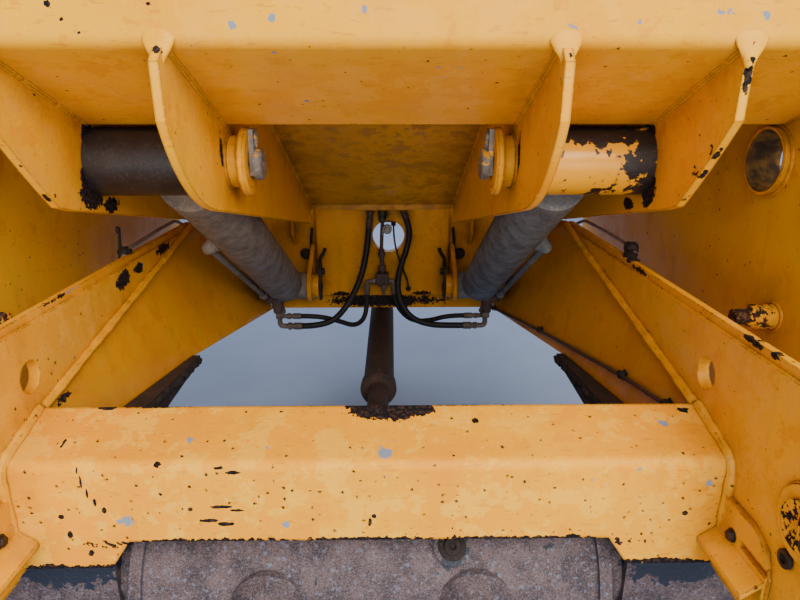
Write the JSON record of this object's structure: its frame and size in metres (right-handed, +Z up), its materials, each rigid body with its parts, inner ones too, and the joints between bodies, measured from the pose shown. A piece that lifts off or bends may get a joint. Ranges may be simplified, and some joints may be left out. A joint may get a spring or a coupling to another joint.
{
  "type": "front chassis section with tipping frame and rams",
  "caption": "Worn yellow front chassis section of a site dumper: cross-beam, side plates, tipping frame on pivots, tipping rams, drive shaft and cast front axle",
  "frame": {"origin": "on the articulation pin, halfway between its two lugs", "axes": "+X to the right seen from the front, +Y to the rear, +Z up"},
  "size_m": [1.592, 1.8, 1.1773],
  "materials": {
    "painted_metal": "worn golden yellow gloss paint on steel plate",
    "brushed_steel": "bare and lightly rusted steel",
    "cast_iron": "rusty cast iron",
    "rubber": "black hose rubber"
  },
  "bodies": {
    "chassis": {"side_plates": "painted_metal", "front_cross_beam": "painted_metal", "beam_end_lugs": "painted_metal", "slanted_side_plates": "painted_metal", "axle_saddles": "painted_metal", "rear_plate": "painted_metal", "tower": "painted_metal", "ram_ears": "painted_metal", "base_pins": "brushed_steel", "base_keepers": "brushed_steel", "articulation_lugs": "painted_metal", "pivot_tubes": "painted_metal", "pivot_pins": "brushed_steel", "pivot_keepers": "painted_metal", "axle_case": "cast_iron", "axle_arms": "cast_iron", "rear_stiffeners": "painted_metal", "hose_bracket": "painted_metal", "cable": "rubber", "tee_block": "brushed_steel", "supply_pipes": "brushed_steel", "side_pipe": "brushed_steel", "pipe_clips": "painted_metal", "hose_lift_left": "rubber", "hose_return_left": "rubber", "hose_lift_right": "rubber", "hose_return_right": "rubber"},
    "tipping_frame": {"skip_beam": "painted_metal", "skip_floor": "painted_metal", "inner_ribs": "painted_metal", "outer_ribs": "painted_metal", "eye_pin_ends": "brushed_steel", "eye_keepers": "painted_metal", "cheeks": "painted_metal", "access_tubes": "painted_metal", "guide_pegs": "painted_metal"},
    "ram_barrel_left": {"ram_barrel_left": "painted_metal", "ram_pipe_left": "brushed_steel"},
    "ram_barrel_right": {"ram_barrel_right": "painted_metal", "ram_pipe_right": "brushed_steel"},
    "ram_rod_left": {"ram_rod_left": "painted_metal"},
    "ram_rod_right": {"ram_rod_right": "painted_metal"},
    "hub_left": {"hub_left": "cast_iron"},
    "hub_right": {"hub_right": "cast_iron"},
    "drive_shaft": {"drive_shaft": "painted_metal"}
  },
  "joints": [
    {"name": "tip", "type": "hinge", "parent": "chassis", "child": "tipping_frame", "pos_m": [0, -1.64, 0.05], "axis": [1, 0, 0], "range_deg": [0, 75]},
    {"name": "ram_swing_left", "type": "hinge", "parent": "chassis", "child": "ram_barrel_left", "pos_m": [-0.32, -0.295, -0.06], "axis": [1, 0, 0], "range_deg": [0, 6]},
    {"name": "ram_stroke_left", "type": "slide", "parent": "ram_barrel_left", "child": "ram_rod_left", "axis": [0, -0.8824, 0.4704], "range_m": [0, 0.7]},
    {"name": "ram_swing_right", "type": "hinge", "parent": "chassis", "child": "ram_barrel_right", "pos_m": [0.32, -0.295, -0.06], "axis": [1, 0, 0], "range_deg": [0, 6]},
    {"name": "ram_stroke_right", "type": "slide", "parent": "ram_barrel_right", "child": "ram_rod_right", "axis": [0, -0.8824, 0.4704], "range_m": [0, 0.7]},
    {"name": "hub_spin_left", "type": "hinge", "parent": "chassis", "child": "hub_left", "pos_m": [-0.7, -1.35, -0.226], "axis": [1, 0, 0], "continuous": true},
    {"name": "hub_spin_right", "type": "hinge", "parent": "chassis", "child": "hub_right", "pos_m": [0.7, -1.35, -0.226], "axis": [1, 0, 0], "continuous": true},
    {"name": "drive_shaft_spin", "type": "hinge", "parent": "chassis", "child": "drive_shaft", "pos_m": [-0.006, -0.6, -0.226], "axis": [0, 1, 0], "continuous": true}
  ],
  "couplings": [
    {"joint": "ram_swing_left", "follows": "tip", "ratio": 0.078917},
    {"joint": "ram_stroke_left", "follows": "tip", "m_per_rad": 0.53184},
    {"joint": "ram_swing_right", "follows": "tip", "ratio": 0.078917},
    {"joint": "ram_stroke_right", "follows": "tip", "m_per_rad": 0.53184}
  ]
}
